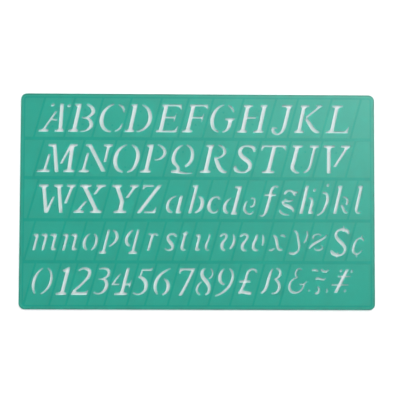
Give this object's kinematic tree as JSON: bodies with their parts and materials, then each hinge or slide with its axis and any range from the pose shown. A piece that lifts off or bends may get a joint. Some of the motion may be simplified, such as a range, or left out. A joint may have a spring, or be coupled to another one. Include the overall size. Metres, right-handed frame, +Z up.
{
  "type": "lettering stencil",
  "caption": "Flat rectangular stencil sheet with slanted roman letters, numerals and signs cut through, and a raised rim and ribs underneath.",
  "frame": {"origin": "middle of the underside, in the plane that the raised grid rests on", "axes": "+X along the rows in reading direction, +Y towards the top row, +Z up out of the written face"},
  "size_m": [0.25, 0.152, 0.0016],
  "materials": {
    "tinted_plastic": "tinted see-through green, semi-gloss"
  },
  "bodies": {
    "root": {"stencil_plate": "tinted_plastic"}
  },
  "joints": []
}
